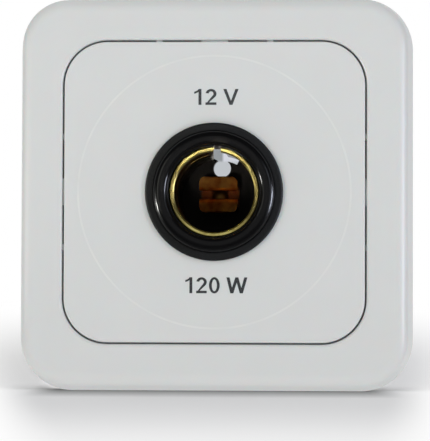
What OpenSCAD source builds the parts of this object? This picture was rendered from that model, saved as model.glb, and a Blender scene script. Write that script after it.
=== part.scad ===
// Flush 12 volt power socket. A square moulded frame and centre plate surround a plug socket with a split
// brass sleeve, a two-leaf centre contact and screw terminals, all held on a steel support plate.
// The front faces -Y and up is +Z. The origin is on the socket's axis at the wall, where y = 0.

/* [Frame] */
// Side of the square frame
frame_w = 60.4; // [58:0.2:64]
// Radius of the frame's corners
frame_corner_r = 8; // [7:0.25:9]
// Height of the frame's front above the wall
frame_h = 8.5; // [8:0.25:10]
// Rounding of the frame's front edge
frame_edge_r = 1.9; // [1.2:0.1:2.2]
// Draft angle of the frame's outer sides
frame_draft = 7.5; // [1:0.5:9]
// Width of the frame's front round the opening
frame_rim_w = 7.2; // [6.6:0.1:7.6]
// Thickness of the frame's outer wall
frame_wall = 1.8; // [1.5:0.1:2]
// Thickness of the frame's front
frame_front_t = 2.2; // [2:0.1:2.6]
// Rounding of the opening's front edge
opening_edge_r = 0.5; // [0.3:0.1:0.7]
// Thickness of the skirt round the opening
skirt_t = 1.2; // [1:0.1:1.4]
// Width of the ledge that the centre plate holds down
ledge_w = 1.1; // [0.9:0.1:1.3]
// Thickness of the stiffening ribs
rib_t = 1; // [0.8:0.1:1.2]
// Distance between the frame's ribs
rib_pitch = 14; // [11:0.5:15]
// Width of the middle centring lug on each side
lug_w = 4.05; // [3:0.05:5]
// Width of the narrow centring lugs
side_lug_w = 0.9; // [0.6:0.1:1.2]
// Distance of the narrow lugs from the middle
side_lug_pitch = 8.4; // [7:0.1:10]
// Depth of the lugs below the frame's front
lug_sink = 0.35; // [0.2:0.05:0.6]

/* [Centre plate] */
// Radius of the centre plate's corners
plate_corner_r = 6.6; // [6:0.1:7]
// Gap between the centre plate and the frame
plate_gap = 0.25; // [0.2:0.05:0.5]
// Depth of the centre plate below the frame's front
plate_sink = 0.1; // [0.05:0.05:0.4]
// Thickness of the centre plate
plate_t = 2; // [1.6:0.1:2.2]
// Length of the skirt behind the centre plate's edge
plate_skirt_h = 0.8; // [0.6:0.1:1]
// Rounding of the centre plate's front edge
plate_edge_r = 0.3; // [0.2:0.05:0.5]
// Distance from the raised round field to the plate's edge
field_margin = 2.15; // [1.5:0.05:4]
// Height of the raised round field
field_h = 0.08; // [0.06:0.02:0.3]
// Wall of the spacer tube behind the centre plate
spacer_t = 2.4; // [2:0.1:3]
// Height of the ribs behind the centre plate
plate_rib_h = 1.6; // [1:0.1:2]

/* [Support plate] */
// Thickness of the support plate
support_t = 1; // [0.8:0.1:1.5]
// Gap between the support plate and the frame's wall
support_gap = 0.3; // [0.25:0.05:0.5]
// Distance between the wall screws
wall_screw_pitch = 35; // [34:0.5:36]
// Diameter of the wall screw holes
wall_screw_d = 3.4; // [3:0.1:3.6]

/* [Socket body] */
// Step from the threaded barrel out to the collar
collar_step = 0.25; // [0.2:0.05:0.35]
// Depth of the barrel's thread
thread_h = 0.45; // [0.3:0.05:0.5]
// Diameter of the glossy collar
collar_d = 18.5; // [18.4:0.1:18.8]
// Height of the collar above the round field
collar_h = 1.9; // [1.4:0.1:2.6]
// Share of the collar's width taken by its outer rounding
collar_outer_share = 0.52; // [0.4:0.02:0.6]
// Share of the collar's width taken by the rounding of its mouth
collar_inner_share = 0.24; // [0.16:0.02:0.34]
// Diameter of the collar's mouth
mouth_d = 14.3; // [14.1:0.1:14.6]
// Width of the clamping flange beyond the collar
flange_w = 0.7; // [0.55:0.05:0.85]
// Thickness of the clamping flange
flange_t = 0.5; // [0.4:0.05:0.6]
// Thickness of the inner flange behind the base disc
back_flange_t = 1.2; // [1:0.1:1.6]
// Opening of the inner flange
back_flange_d = 11.2; // [11:0.1:11.6]
// Width of the keyway behind the split
keyway_w = 2.4; // [2:0.1:2.8]
// Distance of the keyway's left side from the axis
keyway_left = 1.3; // [1:0.1:1.5]
// Diameter out to the bottom of the keyway
keyway_d = 16.3; // [15.6:0.1:16.4]
// Width of the matt trim ring round the collar
trim_w = 1.175; // [1.05:0.025:1.5]
// Height of the trim ring above the round field
trim_h = 0.85; // [0.75:0.05:1]

/* [Contacts] */
// Bore of the brass sleeve
bore_d = 12.2; // [12:0.05:12.3]
// Thickness of the brass sheet
sleeve_t = 0.75; // [0.7:0.05:0.8]
// Depth of the base disc behind the centre plate's front
bore_depth = 22; // [20:0.5:24]
// Depth of the sleeve's front edge behind the centre plate's front
sleeve_sink = 0.2; // [0:0.1:0.6]
// Width of the sleeve's split
split_w = 1.1; // [0.8:0.1:1.4]
// Angle of the split from the top, to the right
split_angle = 4; // [0:1:8]
// Distance from the sleeve's front edge to the window in its upper wall
window_back = 2.2; // [1.8:0.1:3]
// Distance of the window's right side from the axis
window_right = 4.1; // [3:0.1:4.4]
// Distance of the split's left side from the axis at the sleeve's rear
window_left = 1.15; // [0.4:0.05:1.25]
// Distance from the sleeve's front edge to the plug's latch groove
groove_back = 6.8; // [6:0.2:8]
// Width of the latch groove
groove_w = 1.2; // [1:0.1:1.6]
// Depth of the latch groove
groove_h = 0.35; // [0.2:0.05:0.4]
// Thickness of the base disc
disc_t = 2; // [1.6:0.1:2.4]
// Diameter of the round hole in the base disc
disc_hole_d = 2.8; // [2.2:0.1:3]
// Height of the round hole above the axis
disc_hole_up = 4.8; // [4.7:0.05:4.95]
// Distance of the round hole to the right of the axis
disc_hole_right = 0.25; // [0:0.05:0.4]
// Diameter down to the notch in the disc's upper edge
notch_d = 12; // [11.6:0.1:12.4]
// Angle of the notch's right end from the top
notch_angle = 26; // [20:1:28]
// Length of the centre contact in front of the base disc
fork_len = 8.4; // [7:0.2:9.4]
// Width of the centre contact
fork_w = 6; // [5.6:0.1:6.8]
// Height over the centre contact's lips
fork_h = 5.7; // [5.2:0.1:6]
// Gap between the two leaves at their throat
fork_gap = 1.3; // [1:0.1:1.6]
// Thickness of the contact strip
fork_t = 0.4; // [0.3:0.05:0.5]
// Height of the centre contact and its rivet above the axis
contact_up = 0.25; // [0:0.05:0.35]

/* [Terminals] */
// Thickness of the terminals
terminal_t = 0.8; // [0.7:0.05:1]
// Width of the terminals where the wire is clamped
terminal_w = 7; // [6.4:0.1:7.4]
// Shank diameter of the terminal screws
screw_d = 2.9; // [2.5:0.1:3]
// Head diameter of the terminal screws
screw_head_d = 5.5; // [5:0.1:5.8]
// Head height of the terminal screws
screw_head_h = 1.9; // [1.6:0.1:2.2]
// Length of the terminal screws below the head
screw_len = 5; // [4:0.2:5.4]
// Thickness of the wire clamps
clamp_t = 1; // [0.8:0.1:1.2]

/* [Rear housing] */
// Side of the rear housing
housing_w = 33; // [32:0.2:34]
// Depth of the rear housing behind the wall face
housing_h = 28; // [27:0.5:31]
// Wall of the rear housing
housing_wall = 1.6; // [1.4:0.1:1.8]
// Thickness of the housing's floor
housing_floor_t = 1.8; // [1.5:0.1:2.4]
// Radius of the housing's corners
housing_corner_r = 8; // [7.5:0.25:8.5]
// Width of the two wire windows
window_w = 9; // [8:0.5:10]
// Depth at which the wire windows begin
window_at = 15; // [13:0.5:16]
// Shank diameter of the housing screws
housing_screw_d = 2.6; // [2.2:0.1:2.8]
// Length of the housing screws
housing_screw_len = 9; // [7:0.5:11]
// Distance of the housing screws from the housing's sides
housing_screw_inset = 4.3; // [4.1:0.1:4.5]
// Thickness of the lock washer
washer_t = 0.8; // [0.6:0.1:1]
// Reach of the lock washer's teeth beyond the nut's flats
washer_reach = 0.75; // [0.25:0.25:1]
// Number of teeth on the lock washer
washer_teeth = 12; // [8:1:16]
// Room between the nut's corners and the housing
nut_room = 1.05; // [0.9:0.05:1.4]
// Height of the retaining nut
nut_h = 4; // [3:0.5:5]

/* [Hidden] */
$fn = 64;
// Overshoot of cuts, the clearance between pieces that are pushed together, and the overlap that joins
// the stretches of a bent strip
cut = 1;
fit = 0.05;
weld = 0.001;

// Levels along the axis, measured from the wall towards the viewer
face_z = frame_h - plate_sink;
field_z = face_z + field_h;
collar_z = field_z + collar_h;
sleeve_front = face_z - sleeve_sink;
disc_front = face_z - bore_depth;
disc_back = disc_front - disc_t;
barrel_back = disc_back - back_flange_t;
ledge_z = face_z - plate_t - plate_skirt_h - fit;
washer_back = -housing_floor_t - washer_t;
nut_back = washer_back - nut_h;
thread_front = nut_back;

// Widths across the face
opening_w = frame_w - 2 * frame_rim_w;
plate_w = opening_w - 2 * plate_gap;
field_d = plate_w - 2 * field_margin;
opening_r = plate_corner_r + plate_gap;
support_w = frame_w - 2 * frame_wall - 2 * support_gap;
support_r = frame_corner_r - frame_wall - support_gap;
sleeve_r = bore_d / 2 + sleeve_t;
barrel_bore_r = sleeve_r + fit;
barrel_r = collar_d / 2 - collar_step;
barrel_hole_r = barrel_r + 2 * fit;
spacer_r = barrel_hole_r + spacer_t;
disc_r = sleeve_r;
flange_r = collar_d / 2 + flange_w;
trim_r = collar_d / 2 + trim_w;
mouth_lip_h = 0.9;
mouth_bevel = 0.15;

// Widths at the rear
housing_inner_w = housing_w - 2 * housing_wall;
nut_corner_r = housing_inner_w / 2 - nut_room;
nut_w = 2 * nut_corner_r * cos(30);
washer_d = nut_w + 2 * washer_reach;
housing_screw_pitch = housing_w - 2 * housing_screw_inset;

// The locating key, the keyway's cover in front of it and the notch's bevelled foot
key_h = 0.35;
keyway_cover = 1.2;
notch_bevel = 0.2;

// The rear terminals
tab_w = 4.4;
tab_rise = 0.4;
tab_low = bore_d / 2 + tab_rise;
tab_high = tab_low - sleeve_t;
foot_w = 5;
foot_out = 4.8;
foot_in = 2.4;
foot_drop = 0.6;
foot_neck = back_flange_t + foot_drop;
rivet_r = 1.1;
rivet_head_r = 1.9;
rivet_head_h = 0.5;
rivet_room = 0.3;
negative_rivet_z = barrel_back - rivet_room - rivet_head_r;
tab_back = negative_rivet_z - rivet_head_r - 2 * fit;
clamp_lip_t = 0.4;
clamp_lip_h = 0.5;
clamp_w = screw_head_d + 4 * fit + 2 * clamp_lip_t;
terminal_screw_z = negative_rivet_z - rivet_head_r - clamp_w / 2;
terminal_end = terminal_screw_z - clamp_w / 2;
slot_w = 0.9;
slot_h = 0.7;
screw_hole_r = screw_d / 2 + fit;

// Turns a shape drawn with z towards the viewer so that its front faces -Y
module to_front() {
    rotate([90, 0, 0]) children();
}

// A square with round corners
module rounded_square(w, r) {
    inner = w - 2 * r;
    square([w, inner], center = true);
    square([inner, w], center = true);
    for (x = [-1, 1], y = [-1, 1])
        translate([x * inner / 2, y * inner / 2]) circle(r);
}

// A prism on a rounded square, from z = low to z = high
module rounded_prism(w, r, low, high) {
    translate([0, 0, low]) linear_extrude(high - low) rounded_square(w, r);
}

// A rounded prism whose sides lean in by an angle, with its width stated at z = 0
module drafted_prism(w, r, low, high, lean) {
    slope = tan(lean);
    inner_r = r - high * slope;
    rounded_prism(w - 2 * high * slope, inner_r, low, high);
    around_square(w, r) polygon([[0, low], [r - low * slope, low], [inner_r, high], [0, high]]);
}

// Carries a section, drawn outwards from the corners' centres, round a rounded square
module around_square(w, r) {
    straight = w - 2 * r;
    for (side = [0:3])
        rotate(90 * side) translate([straight / 2, 0, 0]) {
            rotate([90, 0, 0]) linear_extrude(straight + 2 * weld, center = true) children();
            translate([0, straight / 2, 0]) rotate_extrude(angle = 90) children();
        }
}

// A rounded prism with its front edge rounded by e and its sides leaning in by an angle
module soft_prism(w, r, low, high, e, lean = 0) {
    side = (high - low - e + e * sin(lean)) / cos(lean);
    edge_x = r - side * sin(lean) - e * cos(lean);
    edge_z = high - e;
    rounded_prism(w - 2 * (r - edge_x), edge_x, low, high);
    around_square(w, r) {
        polygon([
            [0, low],
            [r, low],
            [edge_x + e * cos(lean), edge_z + e * sin(lean)],
            [edge_x, edge_z],
            [0, edge_z]
        ]);
        intersection() {
            translate([edge_x, edge_z]) circle(e);
            polygon([
                [0, low],
                [r, low],
                [edge_x, edge_z] + 2 * e * [cos(lean), sin(lean)],
                [edge_x, edge_z] + 2 * e * [1, 1],
                [0, edge_z + 2 * e]
            ]);
        }
    }
}

// The flare that rounds the front edge of a rounded opening outwards by e
module opening_flare(w, r, high, e) {
    around_square(w, r) difference() {
        translate([r - e, high - e]) square([2 * e, e + fit]);
        translate([r + e, high - e]) circle(e);
    }
}

// A tube from z = low to z = high
module tube(outer_r, inner_r, low, high) {
    translate([0, 0, low]) linear_extrude(high - low) difference() {
        circle(outer_r);
        circle(inner_r);
    }
}

// A rod from z = low to z = high
module rod(r, low, high) {
    translate([0, 0, low]) cylinder(r = r, h = high - low);
}

// One straight stretch of strip along x, followed by what is drawn at its end
module run(length, t) {
    translate([-weld, -t / 2]) square([length + 2 * weld, t]);
    translate([length, 0]) children();
}

// A bend of the strip, to the left where the angle is positive
module bend(angle, inside_r, t) {
    mid_r = inside_r + t / 2;
    side = sign(angle);
    start = -90 * side;
    reach = 3 * (mid_r + t);
    translate([0, side * mid_r]) {
        intersection() {
            difference() {
                circle(mid_r + t / 2);
                circle(inside_r);
            }
            polygon([
                [0, 0],
                for (k = [0:2]) reach * [cos(start + k * angle / 2), sin(start + k * angle / 2)]
            ]);
        }
        rotate(angle) translate([0, -side * mid_r]) children();
    }
}

// The square surround, hollow behind, with a ledge inside its opening
module frame() {
    hollow_w = frame_w - 2 * frame_wall;
    color("gainsboro") to_front() {
        difference() {
            soft_prism(frame_w, frame_corner_r, 0, frame_h, frame_edge_r, frame_draft);
            rounded_prism(opening_w, opening_r, ledge_z, frame_h + cut);
            rounded_prism(opening_w - 2 * ledge_w, opening_r - ledge_w, -cut, ledge_z + fit);
            opening_flare(opening_w, opening_r, frame_h, opening_edge_r);
            difference() {
                drafted_prism(hollow_w, frame_corner_r - frame_wall, -cut, frame_h - frame_front_t,
                    frame_draft);
                frame_skirt();
                frame_ribs();
            }
        }
        frame_lugs();
    }
}

// The stepped wall round the frame's opening
module frame_skirt() {
    rounded_prism(opening_w + 2 * skirt_t, opening_r + skirt_t, ledge_z - skirt_t, frame_h);
    rounded_prism(opening_w - 2 * ledge_w + 2 * skirt_t, opening_r - ledge_w + skirt_t, support_t, frame_h);
}

// Stiffening ribs across the frame's hollow rear
module frame_ribs() {
    for (side = [0:3], k = [-1:1])
        rotate(90 * side) translate([opening_w / 2, k * rib_pitch - rib_t / 2, support_t + fit])
            cube([frame_rim_w, rib_t, frame_h - support_t]);
}

// Centring lugs in the gap, on the left, right and upper sides
module frame_lugs() {
    lug_out = plate_gap - fit;
    for (side = [0:2]) rotate(90 * side) {
        for (k = [-1:1]) {
            w = k == 0 ? lug_w : side_lug_w;
            translate([opening_w / 2 - lug_out, k * side_lug_pitch - w / 2, ledge_z])
                cube([lug_out + skirt_t / 2, w, frame_h - opening_edge_r - lug_sink - ledge_z]);
        }
    }
}

// The centre plate with its raised round field, edge skirt, spacer tube and ribs
module centre_plate() {
    plate_back = face_z - plate_t;
    color("whitesmoke") to_front() {
        difference() {
            union() {
                soft_prism(plate_w, plate_corner_r, plate_back - plate_skirt_h, face_z, plate_edge_r);
                rod(field_d / 2, plate_back, field_z);
            }
            difference() {
                rounded_prism(plate_w - 2 * skirt_t, plate_corner_r - skirt_t, plate_back - plate_skirt_h - cut,
                    plate_back);
                rod(spacer_r, support_t, plate_back + cut);
            }
            rod(barrel_hole_r, -cut, field_z + cut);
        }
        difference() {
            union() {
                tube(spacer_r, barrel_hole_r, support_t, plate_back + fit);
                plate_ribs(plate_back);
            }
            rod(barrel_hole_r, 0, face_z);
        }
    }
}

// Four diagonal ribs that run from the spacer tube towards the plate's corners
module plate_ribs(plate_back) {
    rib_end = plate_w / 2 - skirt_t;
    for (k = [0:3])
        rotate(45 + 90 * k) translate([spacer_r - fit, -rib_t / 2, plate_back - plate_rib_h])
            cube([rib_end - spacer_r, rib_t, plate_rib_h + fit]);
}

// The pressed steel plate that carries everything on the wall
module support_plate() {
    color("silver") to_front() difference() {
        rounded_prism(support_w, support_r, 0, support_t);
        rod(barrel_hole_r, -cut, support_t + cut);
        for (x = [-1, 1], y = [-1, 1])
            translate([x, y, 0] * wall_screw_pitch / 2) rod(wall_screw_d / 2, -cut, support_t + cut);
        for (side = [-1, 1]) translate([side, -side, 0] * housing_screw_pitch / 2) {
            rod(housing_screw_d / 2 + 2 * fit, -cut, support_t + cut);
            screw_sink(fit);
        }
        support_notches();
    }
}

// Rounded cut-outs in the middle of each side of the support plate
module support_notches() {
    notch_r = 3;
    for (side = [0:3]) rotate(90 * side) translate([support_w / 2, 0, 0]) rod(notch_r, -cut, support_t + cut);
}

// The cone that a housing screw's countersunk head fills, grown by a gap
module screw_sink(gap) {
    head_r = housing_screw_d + gap;
    translate([0, 0, support_t - housing_screw_d / 2])
        cylinder(r1 = housing_screw_d / 2 + gap, r2 = head_r, h = housing_screw_d / 2);
}

// The matt ring that covers the clamping flange round the glossy collar
module trim_ring() {
    edge_r = 0.35;
    outer_r = trim_r;
    inner_r = collar_d / 2 + fit;
    step_r = flange_r + fit;
    top = field_z + trim_h;
    color([0.14, 0.14, 0.14]) to_front() rotate_extrude() {
        difference() {
            translate([inner_r, field_z]) square([outer_r - inner_r, trim_h - edge_r]);
            translate([inner_r - cut, field_z - cut]) square([step_r - inner_r + cut, flange_t + fit + cut]);
        }
        translate([inner_r, top - edge_r]) square([outer_r - inner_r - edge_r, edge_r]);
        intersection() {
            translate([outer_r - edge_r, top - edge_r]) circle(edge_r);
            translate([outer_r - edge_r, top - edge_r]) square(edge_r);
        }
    }
}

// The moulded barrel with its glossy collar, keyway and inner rear flange
module socket_body() {
    color([0.05, 0.05, 0.05]) to_front() difference() {
        rotate_extrude() union() {
            collar_section();
            translate([barrel_bore_r, thread_front])
                square([barrel_r - barrel_bore_r, field_z - thread_front + fit]);
            translate([barrel_bore_r, disc_back])
                square([barrel_r - thread_h - barrel_bore_r, thread_front - disc_back + fit]);
            translate([back_flange_d / 2, barrel_back])
                square([barrel_r - thread_h - back_flange_d / 2, back_flange_t]);
        }
        keyway();
        upper_sector(back_flange_d / 2 - cut, barrel_bore_r, barrel_back - cut, disc_back + fit, keyway_left);
        tab_notch(barrel_back, disc_back + fit, barrel_bore_r);
    }
    color([0.05, 0.05, 0.05]) to_front() split_key();
}

// Half section of the collar: clamping flange, rolled outer edge, flat crest, rounded mouth
module collar_section() {
    collar_r = collar_d / 2;
    mouth_r = mouth_d / 2;
    outer_e = collar_outer_share * (collar_r - mouth_r);
    inner_e = collar_inner_share * (collar_r - mouth_r);
    mouth_z = sleeve_front + mouth_lip_h;
    translate([barrel_bore_r, field_z]) square([flange_r - barrel_bore_r, flange_t]);
    polygon([
        [barrel_bore_r, field_z],
        [collar_r, field_z],
        [collar_r, collar_z - outer_e],
        [collar_r - outer_e, collar_z - outer_e],
        [collar_r - outer_e, collar_z],
        [mouth_r + inner_e, collar_z],
        [mouth_r + inner_e, collar_z - inner_e],
        [mouth_r, collar_z - inner_e],
        [mouth_r, mouth_z + mouth_bevel],
        [mouth_r - mouth_bevel, mouth_z],
        [barrel_bore_r, mouth_z]
    ]);
    translate([collar_r - outer_e, collar_z - outer_e]) intersection() {
        circle(outer_e);
        square(outer_e);
    }
    translate([mouth_r + inner_e, collar_z - inner_e]) intersection() {
        circle(inner_e);
        translate([-inner_e, 0]) square(inner_e);
    }
}

// The key that stands in the front of the sleeve's split and locates it
module split_key() {
    rotate(-split_angle) translate([fit - split_w / 2, sleeve_r - key_h, sleeve_front - keyway_cover])
        cube([split_w - 2 * fit, 2 * key_h, keyway_cover - sleeve_sink]);
}

// The keyway behind the sleeve's split, open at the rear
module keyway() {
    translate([-keyway_left, 0, barrel_back - cut])
        cube([keyway_w, keyway_d / 2, sleeve_front - keyway_cover - barrel_back + cut]);
}

// A sector of a ring at the top, from a straight left side with a bevelled foot to the notch's right end
module upper_sector(inner_r, outer_r, low, high, left) {
    reach = 2 * outer_r;
    translate([0, 0, low]) linear_extrude(high - low) intersection() {
        difference() {
            circle(outer_r);
            circle(inner_r);
        }
        polygon([
            [-notch_bevel, 0],
            [-notch_bevel, notch_d / 2 - notch_bevel / 2],
            [-left, notch_d / 2 + 2 * notch_bevel],
            [-left, reach],
            reach * [sin(notch_angle), 2 * cos(notch_angle)],
            reach * [sin(notch_angle), cos(notch_angle)],
            [0, 0]
        ]);
    }
}

// The slot at the bottom through which the sleeve's tab passes
module tab_notch(low, high, out_r) {
    translate([-tab_w / 2 - 2 * fit, -out_r, low - cut])
        cube([tab_w + 4 * fit, out_r - tab_high + 2 * fit, high - low + cut]);
}

// The rolled and split brass sleeve, with a latch groove, an upper window and a tab at the rear
module negative_sleeve() {
    bore_r = bore_d / 2;
    lip = 0.2;
    groove_z = sleeve_front - groove_back;
    color("darkkhaki") to_front() {
        difference() {
            rotate_extrude() difference() {
                polygon([
                    [bore_r, disc_front],
                    [sleeve_r, disc_front],
                    [sleeve_r, sleeve_front - lip],
                    [sleeve_r - lip, sleeve_front],
                    [bore_r + lip, sleeve_front],
                    [bore_r, sleeve_front - lip]
                ]);
                translate([bore_r - cut, groove_z - groove_w]) square([cut + groove_h, groove_w]);
            }
            rotate(-split_angle) translate([-split_w / 2, 0, disc_front - cut])
                cube([split_w, sleeve_r + cut, bore_depth + 2 * cut]);
            sleeve_window();
        }
        translate([-tab_w / 2, -tab_low, tab_back]) difference() {
            cube([tab_w, sleeve_t, disc_front + cut - tab_back]);
            translate([tab_w / 2, sleeve_t / 2, negative_rivet_z - tab_back]) rotate([90, 0, 0])
                cylinder(r = rivet_r + fit, h = 2 * sleeve_t, center = true);
        }
    }
}

// The window in the upper wall of the sleeve, on the right of a split that widens towards the rear
module sleeve_window() {
    split_left = (sleeve_r - sleeve_t / 2) * sin(split_angle) - split_w / 2;
    window_front = sleeve_front - window_back;
    translate([0, bore_d / 4, 0]) rotate([90, 0, 0]) mirror([0, 0, 1]) linear_extrude(sleeve_r) polygon([
        [split_left, sleeve_front],
        [split_left + split_w / 2, sleeve_front],
        [split_left + split_w / 2, window_front],
        [window_right, window_front],
        [window_right, disc_front - cut],
        [-window_left, disc_front - cut]
    ]);
}

// The bronze strip folded into two leaves that grip the plug's centre pin
module positive_contact() {
    flare = 62;
    lean = 14;
    bend_r = 0.5;
    mid_r = bend_r + fork_t / 2;
    bulge = mid_r * (cos((flare - lean) / 2) / cos((flare + lean) / 2) - 1);
    throat_mid = (fork_gap + fork_t) / 2 - bulge;
    rise = (fork_h - fork_t * cos(flare)) / 2 - throat_mid;
    throat_at = fork_len - fork_t / 2 * sin(flare) - rise / tan(flare);
    reach = throat_at - fork_t / 2 - mid_r;
    foot = throat_mid + reach * tan(lean) - mid_r / cos(lean);
    leaf = reach / cos(lean) - mid_r * (tan(lean) + tan((flare + lean) / 2));
    lip = rise / sin(flare) - mid_r * tan((flare + lean) / 2);
    color("peru") to_front() translate([0, contact_up, 0]) difference() {
        intersection() {
            for (side = [0, 1]) mirror([0, side, 0]) rotate([0, -90, 0]) linear_extrude(fork_w, center = true)
                translate([disc_front + fork_t / 2, 0]) rotate(-90)
                    run(foot, fork_t) bend(90 + lean, bend_r, fork_t) run(leaf, fork_t)
                    bend(-lean - flare, bend_r, fork_t) run(lip, fork_t);
            rounded_prism_rect(fork_w, fork_h, 1.1, disc_front, disc_front + fork_len);
        }
        rod(rivet_r + fit, disc_front - cut, disc_front + fork_t + cut);
    }
}

// A prism on a rectangle with round corners, from z = low to z = high
module rounded_prism_rect(w, h, r, low, high) {
    translate([0, 0, low]) linear_extrude(high - low) {
        square([w, h - 2 * r], center = true);
        square([w - 2 * r, h], center = true);
        for (x = [-1, 1], y = [-1, 1]) translate([x * (w / 2 - r), y * (h / 2 - r)]) circle(r);
    }
}

// The insulating disc that carries the centre contact
module base_disc() {
    color([0.16, 0.13, 0.11]) to_front() difference() {
        rod(disc_r, disc_back, disc_front);
        translate([0, contact_up, 0]) rod(rivet_r + fit, disc_back - cut, disc_front + cut);
        translate([disc_hole_right, disc_hole_up, 0]) rod(disc_hole_d / 2, disc_back - cut, disc_front + cut);
        tab_notch(disc_back, disc_front + cut, disc_r + cut);
        upper_sector(notch_d / 2, disc_r + cut, disc_back - cut, disc_front + cut, window_left);
    }
}

// The rivet through the centre contact, the base disc and the positive terminal
module contact_rivet() {
    front = disc_front + fork_t;
    back = disc_back - terminal_t;
    color("goldenrod") to_front() translate([0, contact_up, 0]) rotate_extrude() {
        translate([0, back]) square([rivet_r, front - back]);
        intersection() {
            translate([0, front - rivet_head_r + rivet_head_h]) circle(rivet_head_r);
            translate([0, front]) square(rivet_head_r);
        }
        translate([0, back - rivet_head_h]) polygon([
            [0, 0],
            [rivet_head_r - rivet_head_h, 0],
            [rivet_head_r - 0.2, rivet_head_h],
            [0, rivet_head_h]
        ]);
    }
}

// The angled positive terminal behind the disc
module positive_terminal() {
    bend_r = 0.5;
    wall_x = foot_out - terminal_t / 2;
    color("khaki") to_front() difference() {
        union() {
            rotate([90, 0, 0]) linear_extrude(foot_w, center = true)
                translate([foot_in, disc_back - terminal_t / 2]) rotate(180)
                run(foot_in + wall_x - bend_r - terminal_t / 2, terminal_t) bend(90, bend_r, terminal_t)
                run(foot_neck, terminal_t);
            translate([-foot_out, -terminal_w / 2, terminal_end])
                cube([terminal_t, terminal_w, disc_back - foot_neck - bend_r - terminal_end]);
        }
        translate([0, contact_up, 0]) rod(rivet_r + fit, disc_back - terminal_t - cut, disc_back + cut);
        translate([-foot_out, 0, terminal_screw_z]) rotate([0, 90, 0])
            cylinder(r = screw_hole_r, h = 4 * terminal_t, center = true);
    }
}

// The straight negative terminal under the sleeve's tab
module negative_terminal() {
    neck_back = negative_rivet_z - rivet_head_r;
    front = barrel_back - rivet_room;
    color("khaki") to_front() difference() {
        translate([0, -tab_low - terminal_t, 0]) {
            translate([-foot_w / 2, 0, neck_back]) cube([foot_w, terminal_t, front - neck_back]);
            translate([-terminal_w / 2, 0, terminal_end])
                cube([terminal_w, terminal_t, neck_back - terminal_end]);
        }
        for (hole = [[negative_rivet_z, rivet_r + fit], [terminal_screw_z, screw_hole_r]])
            translate([0, -tab_low, hole[0]]) rotate([90, 0, 0])
                cylinder(r = hole[1], h = 4 * terminal_t, center = true);
    }
}

// The rivet that joins the sleeve's tab to the negative terminal
module negative_rivet() {
    inner = -tab_low + sleeve_t;
    outer = -tab_low - terminal_t;
    color("goldenrod") to_front() translate([0, 0, negative_rivet_z]) rotate([-90, 0, 0]) {
        rod(rivet_r, outer, inner);
        rod(rivet_head_r - 0.2, inner, inner + rivet_head_h);
        rod(rivet_head_r - 0.2, outer - rivet_head_h, outer);
    }
}

// A clamp plate with two turned-up edges, drawn with its outer face at z = clamp_t
module wire_clamp() {
    difference() {
        union() {
            translate([-clamp_w / 2, -clamp_w / 2, 0]) cube([clamp_w, clamp_w, clamp_t]);
            for (side = [-1, 1])
                translate([side * (clamp_w - clamp_lip_t) / 2 - clamp_lip_t / 2, -clamp_w / 2, 0])
                    cube([clamp_lip_t, clamp_w, clamp_t + clamp_lip_h]);
        }
        rod(screw_hole_r, -cut, clamp_t + cut);
    }
}

// A slotted pan-head screw, drawn with its head above z = 0
module pan_screw() {
    dome_r = screw_head_d / 2;
    difference() {
        rotate_extrude() {
            translate([0, -screw_len]) polygon([
                [0, 0],
                [screw_d / 2 - 0.4, 0],
                [screw_d / 2, 0.4],
                [screw_d / 2, screw_len],
                [0, screw_len]
            ]);
            square([dome_r, screw_head_h / 2]);
            intersection() {
                square([dome_r, screw_head_h]);
                translate([0, screw_head_h - dome_r * 1.35]) circle(dome_r * 1.35);
            }
        }
        translate([-dome_r - cut, -slot_w / 2, screw_head_h - slot_h - slot_h / 3])
            cube([2 * (dome_r + cut), slot_w, 2 * slot_h]);
    }
}

// Puts a piece on the positive terminal's outer face, facing left
module on_positive() {
    to_front() translate([-foot_out, 0, terminal_screw_z]) rotate([0, -90, 0]) children();
}

// Puts a piece on the negative terminal's outer face, facing down
module on_negative() {
    to_front() translate([0, -tab_low - terminal_t, terminal_screw_z]) rotate([90, 0, 0]) children();
}

module positive_wire_clamp() {
    color("lightgrey") on_positive() wire_clamp();
}

module positive_screw() {
    color("silver") on_positive() translate([0, 0, clamp_t]) pan_screw();
}

module negative_wire_clamp() {
    color("lightgrey") on_negative() wire_clamp();
}

module negative_screw() {
    color("silver") on_negative() translate([0, 0, clamp_t]) pan_screw();
}

// The moulded housing round the terminals, open at the rear, with two wire windows
module rear_housing() {
    inner_r = housing_corner_r - housing_wall;
    boss_r = 2.6;
    boss_h = housing_screw_len + 1.5;
    color("dimgray") to_front() difference() {
        union() {
            difference() {
                rounded_prism(housing_w, housing_corner_r, -housing_h, 0);
                rounded_prism(housing_inner_w, inner_r, -housing_h - cut, -housing_floor_t);
            }
            for (side = [-1, 1])
                translate([side, -side, 0] * housing_screw_pitch / 2) rod(boss_r, -boss_h, 0);
            housing_ribs();
        }
        rod(barrel_hole_r, -housing_h, cut);
        for (side = [-1, 1]) translate([side, -side, 0] * housing_screw_pitch / 2)
            union() {
                rod(housing_screw_d / 2 + fit, -boss_h - cut, cut);
                screw_sink(fit);
            }
        wire_window();
        rotate(-90) mirror([1, 0, 0]) wire_window();
    }
}

// Upright ribs on the outside of the housing, two on each side
module housing_ribs() {
    rib_x = 7;
    rib_out = 0.8;
    rib_short = 1;
    for (side = [0:3], x = [-1, 1])
        rotate(90 * side) translate([housing_inner_w / 2, x * rib_x - rib_t / 2, rib_short - housing_h])
            cube([housing_wall + rib_out, rib_t, housing_h - rib_short]);
}

// A window with a round end, open at the rear, in the left side of the housing
module wire_window() {
    depth = housing_h - window_at;
    translate([-housing_w, 0, -window_at - window_w / 2]) {
        rotate([0, 90, 0]) cylinder(r = window_w / 2, h = housing_w * 3 / 4);
        translate([0, -window_w / 2, -depth]) cube([housing_w * 3 / 4, window_w, depth]);
    }
}

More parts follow.
